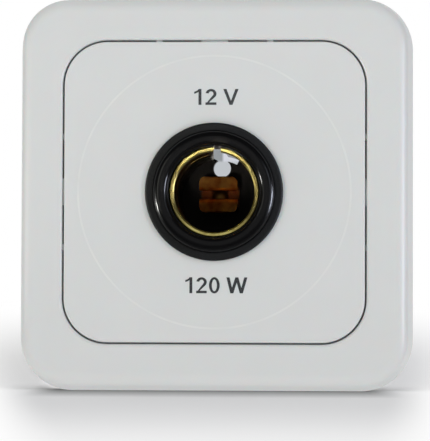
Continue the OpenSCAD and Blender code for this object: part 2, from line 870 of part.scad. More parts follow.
// A countersunk screw through the support plate into the housing
module housing_screw(side) {
    length = housing_screw_len;
    tip = 1;
    recess_l = 1.15 * housing_screw_d;
    recess_w = 0.6;
    color("silver") to_front() translate([side, -side, 0] * housing_screw_pitch / 2) difference() {
        rotate_extrude() {
            translate([0, support_t - length]) polygon([
                [0, -tip],
                [housing_screw_d / 2, 0],
                [housing_screw_d / 2, length - housing_screw_d / 2],
                [housing_screw_d, length],
                [0, length]
            ]);
        }
        for (a = [0, 90]) rotate(a) translate([-recess_l / 2, -recess_w / 2, support_t - recess_w])
            cube([recess_l, recess_w, recess_w + cut]);
    }
}

module housing_screw_upper() {
    housing_screw(-1);
}

module housing_screw_lower() {
    housing_screw(1);
}

// The toothed washer under the nut
module lock_washer() {
    root_r = barrel_hole_r + 0.7 * (nut_w / 2 - barrel_hole_r);
    tooth_w = 3.4;
    tooth_tip_w = 2;
    tooth_twist = 0.1;
    tooth_sink = (root_r - barrel_hole_r) / 2;
    color("lightsteelblue") to_front() translate([0, 0, washer_back]) linear_extrude(washer_t) difference() {
        union() {
            circle(root_r);
            for (k = [0:washer_teeth - 1]) rotate(360 / washer_teeth * k)
                polygon([
                    [root_r - tooth_sink, -tooth_w / 2],
                    [washer_d / 2, tooth_twist - tooth_tip_w / 2],
                    [washer_d / 2, tooth_twist + tooth_tip_w / 2],
                    [root_r - tooth_sink, tooth_w / 2]
                ]);
        }
        circle(barrel_hole_r);
    }
}

// The hexagonal nut with chamfered corners
module retaining_nut() {
    chamfer = 0.5;
    slack = 0.03;
    color("slategray") to_front() translate([0, 0, nut_back]) intersection() {
        linear_extrude(nut_h) difference() {
            circle(nut_corner_r, $fn = 6);
            circle(barrel_r + slack);
        }
        rotate_extrude() polygon([
            [0, 0],
            [nut_corner_r - 2 * chamfer, 0],
            [nut_corner_r, chamfer],
            [nut_corner_r, nut_h - chamfer],
            [nut_corner_r - 2 * chamfer, nut_h],
            [0, nut_h]
        ]);
    }
}

frame();
centre_plate();
support_plate();
trim_ring();
socket_body();
negative_sleeve();
positive_contact();
base_disc();
contact_rivet();
positive_terminal();
positive_wire_clamp();
positive_screw();
negative_terminal();
negative_rivet();
negative_wire_clamp();
negative_screw();
rear_housing();
housing_screw_upper();
housing_screw_lower();
lock_washer();
retaining_nut();
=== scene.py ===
import math

import bpy
import numpy as np
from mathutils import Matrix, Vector


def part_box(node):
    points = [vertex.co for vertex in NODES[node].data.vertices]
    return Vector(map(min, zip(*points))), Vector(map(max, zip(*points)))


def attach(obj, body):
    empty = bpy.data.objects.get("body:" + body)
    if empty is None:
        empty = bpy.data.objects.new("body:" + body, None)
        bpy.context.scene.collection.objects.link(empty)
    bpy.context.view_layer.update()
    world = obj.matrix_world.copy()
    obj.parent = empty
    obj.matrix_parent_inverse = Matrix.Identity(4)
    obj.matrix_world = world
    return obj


bl_info = {
    "name": "Flush 12 Volt Socket",
    "version": (1, 0, 0),
    "blender": (4, 5, 0),
    "location": "View3D > Sidebar > Socket",
    "description": "Finishes, legends, threads and stage for a flush 12 volt plug socket",
    "category": "Object",
}

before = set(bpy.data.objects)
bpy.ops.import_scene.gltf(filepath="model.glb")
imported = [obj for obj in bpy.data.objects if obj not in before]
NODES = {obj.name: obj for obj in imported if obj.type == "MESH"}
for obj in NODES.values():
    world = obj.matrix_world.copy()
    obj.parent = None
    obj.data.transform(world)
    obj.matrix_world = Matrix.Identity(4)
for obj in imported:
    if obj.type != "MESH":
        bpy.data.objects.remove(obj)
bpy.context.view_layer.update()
MM = 0.001

# Places read from the frame: the raised field's front, the frame's lowest corner, the rears of nut and body,
# and the front edges of sleeve and contact. The field's radius is stated, since its box doesn't hold it.
FIELD_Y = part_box("centre_plate")[0][1]
FRAME_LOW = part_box("frame")[0]
NUT_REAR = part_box("retaining_nut")[1][1]
BODY_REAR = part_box("socket_body")[1][1]
SLEEVE_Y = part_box("negative_sleeve")[0][1]
CONTACT_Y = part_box("positive_contact")[0][1]
FIELD_R = 20.6 * MM
# Half the width of the painted highlight round the raised field: a paler line along its step, where the edge
# catches light
EDGE_HIGHLIGHT_HALF = 0.15 * MM
# Radius at which arc lengths round the axis are true
RING_R = 6 * MM

# Second tones of the finishes, as sRGB hex values
# The second white tone is the painted highlight along the raised field's step
WHITE_CLOUD, WHITE_EDGE_HIGHLIGHT = "#D2D4D3", "#E0E1DF"
INK_SPECK = "#3E3F42"
TRIM_DUST = "#202122"
# Of the brass tones, the first is tarnish; the second and third are painted shade, on the ring's sides and
# down the bore
BRASS_TARNISH, BRASS_SIDE_SHADE, BRASS_BORE_SHADE = "#8A6F2B", "#52482A", "#4A2A0C"
# Of the bronze tones, the first is wear; the second is painted shade deep in the contact's fold
BRONZE_WORN, BRONZE_FOLD_SHADE = "#CC7632", "#300A05"
LAMINATE_FIBRE = "#1C1510"
ZINC_CLOUD = "#BDB9A6"
RUB_MARK = "#A88A45"
FLOW_MARK = "#4A4B4E"
BLACK = "#000000"

# Printed letters, in parts of their height: stroke, gap between letters and gap between words
BOLD, LETTER_GAP, WORD_GAP = 0.165, 0.14, 0.25
# Each band of ink stands out by this share more than the last, over so many bands
LAYER_RISE, LAYERS = 0.02, 5

# Thread: points in a turn, depth of its foot in the core, and pitches left free at the end
THREAD_POINTS, THREAD_SUNK, THREAD_FREE = 72, 0.1 * MM, 0.8

# Painted shade on the paper. Its middle line leans with the camera's and is shifted sideways, and its half
# width changes along Y. Its soft side edge grows behind the object.
SHADE_LEAN, SHADE_SHIFT = 0.0503, 0.6 * MM
SHADE_HALF, SHADE_TAPER = 27.2 * MM, 0.09
SOFT_EDGE_MM, SOFT_GROWTH = 8.6, 0.15
# Where the shade ends ahead of the object, behind it and above, in millimetres: full, then gone
AHEAD_MM, BEHIND_MM, ABOVE_MM = (50, 230), (-65, -130), (-27.5, -17)
# Straight behind the object: how far in from the shade's side, how far back, and how much lighter
HIDDEN_IN, HIDDEN_BACK_MM, HIDDEN_SHARE = (-1 * MM, -4 * MM), (-2, -14), 0.7
# Contact shadow: how far ahead, how far across, and how dark
FOOT_MM, FOOT_ACROSS, FOOT_DARK = (-2, 32), (23 * MM, 29 * MM), 0.75
# The paper's own light for matt faces, its light for glossy faces in front, and where that begins
PAPER_LIGHT, PAPER_NIGHT, NIGHT_MM = 0.7, 0.06, (5, 30)

# Light card: its place and size, its tones, and where these change across and upwards
CARD_Y, CARD_X, CARD_Z = 28 * MM, (-8.5 * MM, 8.5 * MM), (4.3 * MM, 13.2 * MM)
CARD_LEFT, CARD_RIGHT, CARD_LOW = "#94989C", "#D2D4DD", "#BFC3C7"
CARD_ACROSS, CARD_UP = (-0.45 * MM, -0.05 * MM), (6.6 * MM, 7.0 * MM)

# Paper sweep: front end, start of the curve, its radius, top above the floor and half width
SWEEP_FRONT, SWEEP_BEHIND, SWEEP_R, SWEEP_TOP, SWEEP_HALF = -0.26, 0.036, 0.024, 0.35, 0.11
# Second sheet below the object's rear: how far it goes back, and how far it lies below the first
REAR_END, REAR_DROP = 0.3, 0.05 * MM

# Lamps: name, place, width and height, watts, colour, and whether matt faces get its light too
LAMPS = (
    ("left_box", (-0.42, -0.63, 0.06), (0.25, 0.5), 1.0, (1.0, 1.0, 0.9), True),
    ("right_box", (0.5, -0.57, 0.06), (0.25, 0.5), 1.05, (0.84, 0.89, 1.0), True),
    ("left_strip", (-0.6, -0.2, -0.15), (0.12, 0.14), 9.0, (1.0, 1.0, 0.95), False),
    ("right_strip", (0.6, -0.2, -0.08), (0.16, 0.28), 9.0, (0.8, 0.84, 1.0), False),
)
# Narrow beam down the bore
BEAM_PLACE = (-0.03, -0.6, -0.07)
BEAM = {"energy": 9.0, "spot_size": math.radians(1), "spot_blend": 0.2, "shadow_soft_size": 0.008,
        "color": (1.0, 0.93, 0.84)}

# World: the room and the disc round the camera that glossy faces see, and the tent's light for matt faces.
# Each span is of a direction's Y, -1 towards the camera and 1 behind the object, and has two strengths.
ROOM_SPAN, ROOM_LIGHT = (-0.1, 0.5), (0.02, 0.5)
DISC_SPAN, DISC_LIGHT = (-0.96, -0.88), (0.5, 0)
TENT_SPAN, TENT_LIGHT = (0, -1), (0.48, 0.8)


class SocketSizes(bpy.types.PropertyGroup):
    """Sizes of what is added to the solids"""

    cap_height: bpy.props.FloatProperty(
        name="Cap height", description="Height of the printed capitals", default=2.4 * MM, unit="LENGTH")
    volt_width: bpy.props.FloatProperty(
        name="Voltage width", description="Width of the printed voltage", default=6.71 * MM, unit="LENGTH")
    watt_width: bpy.props.FloatProperty(
        name="Power width", description="Width of the printed power", default=9.34 * MM, unit="LENGTH")
    volt_rise: bpy.props.FloatProperty(
        name="Voltage height", description="Middle of the voltage above the axis",
        default=14.35 * MM, unit="LENGTH")
    watt_drop: bpy.props.FloatProperty(
        name="Power depth", description="Middle of the power below the axis",
        default=14.1 * MM, unit="LENGTH")
    volt_across: bpy.props.FloatProperty(
        name="Voltage shift", description="Middle of the voltage right of the axis",
        default=0.3 * MM, unit="LENGTH")
    watt_across: bpy.props.FloatProperty(
        name="Power shift", description="Middle of the power right of the axis",
        default=0.38 * MM, unit="LENGTH")
    ink: bpy.props.FloatProperty(
        name="Ink", description="Thickness of the printed ink", default=0.02 * MM, unit="LENGTH")
    thread_pitch: bpy.props.FloatProperty(
        name="Thread pitch", description="Pitch of the barrel's thread", default=1.0 * MM, unit="LENGTH")
    thread_core: bpy.props.FloatProperty(
        name="Thread core", description="Radius of the thread's root", default=8.55 * MM, unit="LENGTH")
    thread_crest: bpy.props.FloatProperty(
        name="Thread crest", description="Radius of the thread's crest", default=9.0 * MM, unit="LENGTH")


class SocketColours(bpy.types.PropertyGroup):
    """Colours as they look on the object, written as sRGB hex values"""

    moulding: bpy.props.StringProperty(name="Moulding", description="White mouldings", default="#D6D7D7")
    ink: bpy.props.StringProperty(name="Ink", description="Printed legends", default="#1C1D20")
    gloss: bpy.props.StringProperty(name="Gloss black", description="Socket body", default="#0B0B0C")
    trim: bpy.props.StringProperty(name="Matt black", description="Trim ring", default="#0E0F0F")
    brass: bpy.props.StringProperty(name="Sleeve brass", description="Split sleeve", default="#F2E48C")
    bronze: bpy.props.StringProperty(name="Contact bronze", description="Centre contact", default="#F2B25C")
    laminate: bpy.props.StringProperty(name="Laminate", description="Base disc", default="#0E0A08")
    zinc: bpy.props.StringProperty(name="Zinc", description="Plated steel", default="#C3C5C8")
    terminal: bpy.props.StringProperty(
        name="Terminal brass", description="Terminals and their rivet", default="#D0B56A")
    # The contact rivet's darker tone is painted shade, for its place deep in the contact's slot
    rivet: bpy.props.StringProperty(name="Rivet", description="Oxidised contact rivet", default="#7A4A26")
    housing: bpy.props.StringProperty(name="Housing", description="Rear housing", default="#3A3B3D")
    floor: bpy.props.StringProperty(name="Floor", description="Floor and backdrop", default="#FAFAFB")


class SocketStage(bpy.types.PropertyGroup):
    """Where the camera stands and what it aims at"""

    azimuth: bpy.props.FloatProperty(
        name="Azimuth", description="Camera's turn to the right", default=math.radians(2.65), subtype="ANGLE")
    elevation: bpy.props.FloatProperty(
        name="Elevation", description="Camera's rise", default=math.radians(-2.1), subtype="ANGLE")
    roll: bpy.props.FloatProperty(
        name="Roll", description="Camera's roll", default=math.radians(0.2), subtype="ANGLE")
    distance: bpy.props.FloatProperty(
        name="Distance", description="Camera to the plate", default=380 * MM, unit="LENGTH")
    view_height: bpy.props.FloatProperty(
        name="View height", description="Height that the picture shows", default=66.5 * MM, unit="LENGTH")
    aim_x: bpy.props.FloatProperty(
        name="Aim right", description="Aimed point, right of the axis", default=0.16 * MM, unit="LENGTH")
    aim_z: bpy.props.FloatProperty(
        name="Aim up", description="Aimed point, above the axis", default=-4.33 * MM, unit="LENGTH")


def linear(hex_colour):
    """Linear RGBA of an sRGB hex colour: each channel is divided by 12.92 below 0.04045, and above it
    raised to 2.4 after the standard offset."""
    channels = [int(hex_colour[i:i + 2], 16) / 255 for i in (1, 3, 5)]
    return tuple(c / 12.92 if c <= 0.04045 else ((c + 0.055) / 1.055) ** 2.4 for c in channels) + (1.0,)


def per_mm(size):
    """Texture scale at which one feature measures size millimetres on Object coordinates."""
    return 1 / (size * MM)


def add(tree, kind, inputs=None, **settings):
    """Adds one node. Settings go to its properties, and inputs hold values or the sockets that feed it."""
    node = tree.nodes.new(kind)
    for name, value in settings.items():
        setattr(node, name, value)
    for key, value in (inputs or {}).items():
        if isinstance(value, bpy.types.NodeSocket):
            tree.links.new(value, node.inputs[key])
        else:
            node.inputs[key].default_value = value
    return node


def compute(tree, operation, *values):
    """Result of one Math node, from numbers or sockets."""
    return add(tree, "ShaderNodeMath", dict(enumerate(values)), operation=operation).outputs[0]


def ramp(tree, value, span, to_low=0.0, to_high=1.0, kind="LINEAR"):
    """A value mapped from the span's two ends to to_low and to_high, and held beyond them."""
    ends = {"From Min": span[0], "From Max": span[1], "To Min": to_low, "To Max": to_high}
    return add(tree, "ShaderNodeMapRange", {"Value": value, **ends}, interpolation_type=kind).outputs[0]


def noise(tree, place, size, detail, roughness=0.5):
    """Noise whose features measure size millimetres."""
    return add(tree, "ShaderNodeTexNoise", {"Vector": place, "Scale": per_mm(size), "Detail": detail,
                                            "Roughness": roughness}).outputs[0]


def blend(tree, factor, first, second):
    """Colour between two colours, each a socket or an sRGB hex value."""
    first, second = (linear(tone) if isinstance(tone, str) else tone for tone in (first, second))
    return add(tree, "ShaderNodeMix", {"Factor": factor, "A": first, "B": second},
               data_type="RGBA").outputs["Result"]


def between(tree, factor, first, second):
    """Value between two values."""
    return add(tree, "ShaderNodeMix", {"Factor": factor, "A": first, "B": second}).outputs["Result"]


def axes(tree, place):
    """The x, y and z of a place."""
    return tuple(add(tree, "ShaderNodeSeparateXYZ", {0: place}).outputs)


def stretch(tree, place, scale):
    """A place scaled along each axis, so that what is drawn on it is stretched."""
    return add(tree, "ShaderNodeMapping", {"Vector": place, "Scale": scale}).outputs[0]


def from_axis(tree, x, z):
    """Distance from the socket's axis."""
    flat = add(tree, "ShaderNodeCombineXYZ", {0: x, 2: z}).outputs[0]
    return add(tree, "ShaderNodeVectorMath", {0: flat}, operation="LENGTH").outputs["Value"]


def around_axis(tree, place):
    """Cylinder coordinates about the socket's axis: arc length at RING_R, distance along and distance out."""
    x, y, z = axes(tree, place)
    arc_length = compute(tree, "MULTIPLY", compute(tree, "ARCTAN2", z, x), RING_R)
    return add(tree, "ShaderNodeCombineXYZ", {0: arc_length, 1: y, 2: from_axis(tree, x, z)}).outputs[0]


def new_material(name):
    """An empty material of that name, its tree and Object coordinates."""
    material = bpy.data.materials.new(name)
    material.use_nodes = True
    tree = material.node_tree
    tree.nodes.clear()
    return material, tree, add(tree, "ShaderNodeTexCoord").outputs["Object"]


def new_finish(name, surface):
    """A material of that name with a Principled surface that has the stated values, its tree, shader and
    Object coordinates."""
    material, tree, place = new_material(name)
    shader = add(tree, "ShaderNodeBsdfPrincipled", surface)
    add(tree, "ShaderNodeOutputMaterial", {"Surface": shader.outputs[0]})
    return material, tree, shader, place


def dress(tree, shader, colour=None, roughness=None, bump=None):
    """Feeds the shader's colour and roughness, and a bump from its height, strength and depth in mm."""
    for key, value in (("Base Color", colour), ("Roughness", roughness)):
        if value is not None:
            tree.links.new(value, shader.inputs[key])
    if bump is not None:
        height, strength, depth = bump
        normal = add(tree, "ShaderNodeBump", {"Height": height, "Strength": strength, "Distance": depth * MM})
        tree.links.new(normal.outputs[0], shader.inputs["Normal"])


def moulded_white(hex_colour):
    """Injection-moulded ASA with a fine spark-eroded grain: a soft, even sheen, no mirror image."""
    material, tree, shader, place = new_finish("moulded_white_asa", {
        "IOR": 1.5, "Specular IOR Level": 0.2, "Subsurface Weight": 0.2, "Subsurface Scale": 0.8 * MM})
    tint = blend(tree, noise(tree, place, 9, 2), hex_colour, WHITE_CLOUD)
    # A painted highlight: a paler line, broken by noise, along the step round the raised field, where its
    # edge catches light
    x, _, z = axes(tree, place)
    step = compute(tree, "COMPARE", from_axis(tree, x, z), FIELD_R, EDGE_HIGHLIGHT_HALF)
    edge_highlight = compute(tree, "MULTIPLY", step, noise(tree, place, 3, 2))
    tint = blend(tree, edge_highlight, tint, WHITE_EDGE_HIGHLIGHT)
    # The real grain is about 0.05 mm; it is drawn at 0.22 mm so that it shows
    grain = noise(tree, place, 0.22, 3, 0.6)
    dress(tree, shader, tint, ramp(tree, grain, (0, 1), 0.36, 0.5), (grain, 0.12, 0.02))
    return material


def printed_ink(hex_colour):
    """Pad-printed ink: matt, slightly uneven in density, with greyer specks where it is thin."""
    material, tree, shader, place = new_finish("pad_printed_ink", {"Roughness": 0.6})
    thin = ramp(tree, noise(tree, place, 0.25, 4), (0.35, 0.7))
    dress(tree, shader, blend(tree, thin, hex_colour, INK_SPECK))
    return material


def polished_phenolic(hex_colour):
    """Compression-moulded phenolic resin: deep black with sharp highlights and faint turning haze."""
    material, tree, shader, place = new_finish("polished_black_phenolic", {
        "Base Color": linear(hex_colour), "IOR": 1.55, "Specular IOR Level": 0.15})
    haze = noise(tree, stretch(tree, around_axis(tree, place), (0.08, 1, 1)), 0.5, 3)
    dress(tree, shader, roughness=ramp(tree, haze, (0.3, 0.75), 0.1, 0.24), bump=(haze, 0.08, 0.01))
    return material


def matt_rubber(hex_colour):
    """Moulded black elastomer: dull, with a fine grain and a little pale dust."""
    material, tree, shader, place = new_finish("matt_black_elastomer", {
        "Roughness": 0.68, "Specular IOR Level": 0.2})
    grain = noise(tree, place, 0.18, 4, 0.7)
    dust = ramp(tree, grain, (0.45, 0.8))
    dress(tree, shader, blend(tree, dust, hex_colour, TRIM_DUST), bump=(grain, 0.3, 0.03))
    return material


def rolled_brass(hex_colour):
    """Rolled brass sheet, a little tarnished, with a bright sheared edge. Its left and right sides are darker
    as painted shade, and the bore is polished by the plugs and turns browner the deeper it lies, also painted
    shade."""
    material, tree, shader, place = new_finish("rolled_tarnished_brass", {"Metallic": 1.0})
    ring = around_axis(tree, place)
    tarnish = ramp(tree, noise(tree, ring, 2.2, 5, 0.65), (0.42, 0.72))
    tint = blend(tree, tarnish, hex_colour, BRASS_TARNISH)
    x, depth, _ = axes(tree, place)
    # Painted shade: the ring darkens towards its left and right sides, where less light falls on it
    dull = ramp(tree, compute(tree, "ABSOLUTE", x), (3.2 * MM, 6 * MM), to_high=0.85)
    tint = blend(tree, dull, tint, BRASS_SIDE_SHADE)
    # Painted shade: the bore turns browner from just behind the sleeve's front, the deeper it lies
    deep = ramp(tree, depth, (SLEEVE_Y + 0.1 * MM, SLEEVE_Y + 2 * MM), to_high=0.85)
    tint = blend(tree, deep, tint, BRASS_BORE_SHADE)
    lines = noise(tree, stretch(tree, ring, (0.05, 1, 1)), 0.12, 3)
    inside = ramp(tree, depth, (SLEEVE_Y + 0.15 * MM, SLEEVE_Y + 0.9 * MM))
    gloss = between(tree, inside, ramp(tree, lines, (0, 1), 0.2, 0.36), ramp(tree, lines, (0, 1), 0.2, 0.32))
    dress(tree, shader, tint, gloss, (lines, 0.25, 0.02))
    return material


def spring_bronze(hex_colour):
    """Phosphor bronze strip: warm orange, lines along the strip, darker where the plug has worn it, and
    dull red deeper in the fold, which is painted shade."""
    material, tree, shader, place = new_finish("spring_bronze_strip", {"Metallic": 1.0})
    worn = ramp(tree, noise(tree, place, 1.6, 3), (0.4, 0.7))
    tint = blend(tree, worn, hex_colour, BRONZE_WORN)
    depth = axes(tree, place)[1]
    # Painted shade: the strip turns dark red from 2 mm behind its front, deep in the fold
    deep = ramp(tree, depth, (CONTACT_Y + 2 * MM, CONTACT_Y + 3.6 * MM), to_high=0.96)
    tint = blend(tree, deep, tint, BRONZE_FOLD_SHADE)
    lines = noise(tree, stretch(tree, place, (1, 0.08, 0.4)), 0.25, 4)
    dress(tree, shader, tint, ramp(tree, lines, (0, 1), 0.28, 0.5), (lines, 0.3, 0.02))
    return material


def pressed_laminate(hex_colour):
    """Paper and resin laminate: near black brown with faint fibres and a dull sheen."""
    material, tree, shader, place = new_finish("pressed_paper_laminate", {
        "Roughness": 0.5, "Specular IOR Level": 0.1})
    fibre = noise(tree, stretch(tree, place, (0.2, 1, 1)), 0.2, 4)
    dress(tree, shader, blend(tree, fibre, hex_colour, LAMINATE_FIBRE), bump=(fibre, 0.2, 0.02))
    return material


def zinc_plate(hex_colour):
    """Bright zinc plating on cold-rolled steel: bluish with faint yellow clouds and fine rolling lines."""
    material, tree, shader, place = new_finish("bright_zinc_plated_steel", {"Metallic": 1.0})
    tint = blend(tree, noise(tree, place, 6, 3), hex_colour, ZINC_CLOUD)
    lines = noise(tree, stretch(tree, place, (1, 1, 0.06)), 0.3, 4)
    dress(tree, shader, tint, ramp(tree, lines, (0, 1), 0.26, 0.48), (lines, 0.2, 0.02))
    return material


def stamped_brass(hex_colour):
    """Stamped and turned terminal brass: clean yellow with fine rub marks."""
    material, tree, shader, place = new_finish("stamped_terminal_brass", {"Metallic": 1.0})
    rub = noise(tree, place, 0.8, 5, 0.7)
    dress(tree, shader, blend(tree, rub, hex_colour, RUB_MARK), ramp(tree, rub, (0, 1), 0.2, 0.45))
    return material


def glass_filled_nylon(hex_colour):
    """Glass-filled polyamide: dark grey, satin, with short flow marks where the fibres surface."""
    material, tree, shader, place = new_finish("glass_filled_polyamide", {})
    marks = noise(tree, stretch(tree, place, (1, 0.25, 1)), 0.5, 5, 0.7)
    dress(tree, shader, blend(tree, marks, hex_colour, FLOW_MARK),
          ramp(tree, marks, (0, 1), 0.4, 0.62), (marks, 0.25, 0.03))
    return material


def glow(tree, strength, colour=(1, 1, 1, 1)):
    """An emission of that strength."""
    return add(tree, "ShaderNodeEmission", {"Color": colour, "Strength": strength}).outputs[0]


def one_sided(tree, front):
    """Ends a material that shows a shader from the sheet's front and is clear from behind, so that no sheet
    hides the object's rear."""
    backfacing = add(tree, "ShaderNodeNewGeometry").outputs["Backfacing"]
    clear = add(tree, "ShaderNodeBsdfTransparent").outputs[0]
    mixed = add(tree, "ShaderNodeMixShader", {0: backfacing, 1: front, 2: clear})
    add(tree, "ShaderNodeOutputMaterial", {"Surface": mixed.outputs[0]})


def stage_white(hex_colour):
    """Seamless paper. It is plain white further off, and near the object it holds a soft shade that ends at
    both sides, ahead, behind and above. The shade is the product of how far each of these ends is still away.
    A darker strip in front of the foot is the contact shadow."""
    material, tree, place = new_material("seamless_paper")
    x, y, z = axes(tree, place)
    ray = add(tree, "ShaderNodeLightPath").outputs

    # Metres from the shade's middle line, and past its side edge
    slid = compute(tree, "ADD", compute(tree, "MULTIPLY_ADD", y, SHADE_LEAN, x), SHADE_SHIFT)
    across = compute(tree, "ABSOLUTE", slid)
    past = compute(tree, "SUBTRACT", across, compute(tree, "MULTIPLY_ADD", y, SHADE_TAPER, SHADE_HALF))
    # Millimetres past the edge, in a measure that grows behind the object, then ahead and up
    measure = compute(tree, "MULTIPLY_ADD", compute(tree, "MAXIMUM", y, 0.0), SOFT_GROWTH / SOFT_EDGE_MM, MM)
    beside = compute(tree, "DIVIDE", past, measure)
    ahead = compute(tree, "MULTIPLY", y, -1 / MM)
    height = compute(tree, "MULTIPLY", z, 1 / MM)
    shade = 1.0
    for distance, span in ((beside, (0, SOFT_EDGE_MM)), (ahead, AHEAD_MM), (ahead, BEHIND_MM),
                           (height, ABOVE_MM)):
        shade = compute(tree, "MULTIPLY", ramp(tree, distance, span, 1, 0, "SMOOTHSTEP"), shade)
    # Straight behind the object, where the camera doesn't look, the shade is lighter
    inward = ramp(tree, past, HIDDEN_IN, 0, HIDDEN_SHARE, "SMOOTHSTEP")
    back = ramp(tree, ahead, HIDDEN_BACK_MM, kind="SMOOTHSTEP")
    kept = compute(tree, "SUBTRACT", 1.0, compute(tree, "MULTIPLY", inward, back))
    shade = compute(tree, "MULTIPLY", kept, shade)

    foot = ramp(tree, ahead, FOOT_MM, FOOT_DARK, 0)
    corner = ramp(tree, across, FOOT_ACROSS, 1, 0, "SMOOTHSTEP")
    dark = compute(tree, "MULTIPLY", compute(tree, "MULTIPLY", foot, corner), ray["Is Camera Ray"])
    paper = add(tree, "ShaderNodeBsdfDiffuse", {"Color": blend(tree, dark, hex_colour, BLACK)}).outputs[0]

    # Matt faces get the tent's light from the paper as well
    seen = compute(tree, "MAXIMUM", ray["Is Camera Ray"], ray["Is Transmission Ray"])
    seen = compute(tree, "MAXIMUM", seen, ray["Is Glossy Ray"])
    white = between(tree, seen, PAPER_LIGHT, compute(tree, "SUBTRACT", 1.0, shade))
    front = add(tree, "ShaderNodeMixShader", {0: white, 1: paper, 2: glow(tree, 1.0)}).outputs[0]
    # In front it is as dim as the room to glossy faces, so that the black collar stays deep
    dim = compute(tree, "MULTIPLY", ramp(tree, ahead, NIGHT_MM), ray["Is Glossy Ray"])
    front = add(tree, "ShaderNodeMixShader", {0: dim, 1: front, 2: glow(tree, PAPER_NIGHT)}).outputs[0]
    one_sided(tree, front)
    return material


def light_card():
    """Card in the housing's rear that gives its own light, seen through the disc's hole and notch: paler to
    the right and darker to the left of the notch."""
    material, tree, place = new_material("light_card")
    x, _, z = axes(tree, place)
    notch = blend(tree, ramp(tree, x, CARD_ACROSS), CARD_LEFT, CARD_RIGHT)
    tone = blend(tree, ramp(tree, z, CARD_UP), CARD_LOW, notch)
    one_sided(tree, glow(tree, 1.0, tone))
    return material


def finish_nodes(material, *names):
    """Gives the named solids that finish."""
    for name in names:
        for held in NODES[name].material_slots:
            held.material = material


def new_piece(name, places, faces, material, smooth=False):
    """A mesh object from its places and faces, in that material."""
    mesh = bpy.data.meshes.new(name)
    mesh.from_pydata(places, [], faces)
    if smooth:
        mesh.shade_smooth()
    mesh.update()
    mesh.materials.append(material)
    piece = bpy.data.objects.new(name, mesh)
    bpy.context.collection.objects.link(piece)
    return piece


def grid_piece(name, points, material, closed=False):
    """A smooth mesh from points[i, j], a grid of places. Each four neighbours make one face. A closed grid
    joins its last column to its first and fills its two end rows."""
    rows, columns = points.shape[:2]
    index = np.arange(rows * columns).reshape(rows, columns)
    a, b = np.meshgrid(np.arange(rows - 1), np.arange(columns if closed else columns - 1), indexing="ij")
    after = (b + 1) % columns
    faces = np.stack([index[a, b], index[a, after], index[a + 1, after], index[a + 1, b]], -1)
    faces = faces.reshape(-1, 4).tolist()
    if closed:
        faces += [index[0, ::-1].tolist(), index[-1].tolist()]
    return new_piece(name, points.reshape(-1, 3).tolist(), faces, material, smooth=True)


def arc(middle_x, middle_z, radius_x, radius_z, start, end, steps=28):
    """Points of an elliptic arc, from the start angle to the end angle in degrees."""
    turn = np.radians(np.linspace(start, end, steps))
    return np.stack([middle_x + radius_x * np.cos(turn), middle_z + radius_z * np.sin(turn)], 1)


def glyph_bands(letter):
    """Bands of a plain sans letter one unit high, each a pair of edge lines, and the letter's width. A round
    band lies between two arcs and a straight band between two slanted lines."""
    if letter == "1":
        stem = [[(0.24, 1), (0.24, 0)], [(0.24 + BOLD, 1), (0.24 + BOLD, 0)]]
        flag = [[(0.0, 0.83), (0.1, 0.86), (0.19, 0.92), (0.26, 1.0)],
                [(0.0, 0.7), (0.1, 0.73), (0.19, 0.78), (0.26, 0.84)]]
        return [stem, flag], 0.49
    if letter == "2":
        bow = [arc(0.31, 0.7, 0.3, 0.3, 172, -38), arc(0.31, 0.7, 0.3 - BOLD, 0.3 - BOLD * 0.9, 172, -38)]
        leg = [[bow[0][-1], (0.34, 0.3), (0.2, BOLD - 0.01)], [bow[1][-1], (0.16, 0.26), (0.0, 0.0)]]
        foot = [[(0.0, BOLD - 0.01), (0.61, BOLD - 0.01)], [(0.0, 0), (0.61, 0)]]
        return [bow, leg, foot], 0.6
    if letter == "0":
        outer = arc(0.31, 0.5, 0.31, 0.51, 0, 360, 56)
        inner = arc(0.31, 0.5, 0.31 - BOLD, 0.51 - BOLD * 0.85, 0, 360, 56)
        return [[outer, inner]], 0.62
    slant = BOLD * 1.08
    if letter == "V":
        left = [[(0, 1), (0.35, 0)], [(slant, 1), (0.35 + slant * 0.92, 0)]]
        right = [[(0.35, 0), (0.85 - slant, 1)], [(0.35 + slant * 0.92, 0), (0.85, 1)]]
        return [left, right], 0.85
    # The letter W
    strokes = []
    for low, high in ((0.22, 0.0), (0.22, 0.51), (0.77, 0.51), (0.77, 1.03)):
        strokes.append([[(low, 0), (high, 1)], [(low + slant, 0), (high + slant, 1)]])
    return strokes, 1.2


def printed_legend(name, words, width, height, middle_x, middle_z, thickness, material):
    """Flat lettering as thin closed bands on the raised field. Each band's two edge lines are joined across,
    the whole line of words is scaled to its width and cap height, and the ink's side walls go back to the
    field."""
    outlines, reach = [], 0.0
    for letter in words:
        if letter == " ":
            reach += WORD_GAP
            continue
        bands, advance = glyph_bands(letter)
        outlines += [np.array(band, float) + (reach, 0) for band in bands]
        reach += advance + LETTER_GAP
    reach -= LETTER_GAP
    points, faces = [], []
    for layer, band in enumerate(outlines):
        scaled = (band - (reach / 2, 0.5)) * (width / reach, height)
        # Overlapping bands differ by a hair in height, so that none shares a plane with the next
        front = FIELD_Y - thickness * (1 + LAYER_RISE * (layer % LAYERS))
        count = band.shape[1]
        first = sum(len(block) for block in points)
        for y in (front, FIELD_Y):
            for edge in scaled:
                points.append(np.stack([edge[:, 0] + middle_x, np.full(count, y), edge[:, 1] + middle_z], 1))
        a, b, c, d = (first + k * count for k in range(4))
        for k in range(count - 1):
            faces += [(a + k, a + k + 1, b + k + 1, b + k), (a + k, c + k, c + k + 1, a + k + 1),
                      (b + k + 1, d + k + 1, d + k, b + k), (c + k, d + k, d + k + 1, c + k + 1)]
        faces += [(a, b, d, c), (a + count - 1, c + count - 1, d + count - 1, b + count - 1)]
    return new_piece(name, np.concatenate(points).tolist(), faces, material)


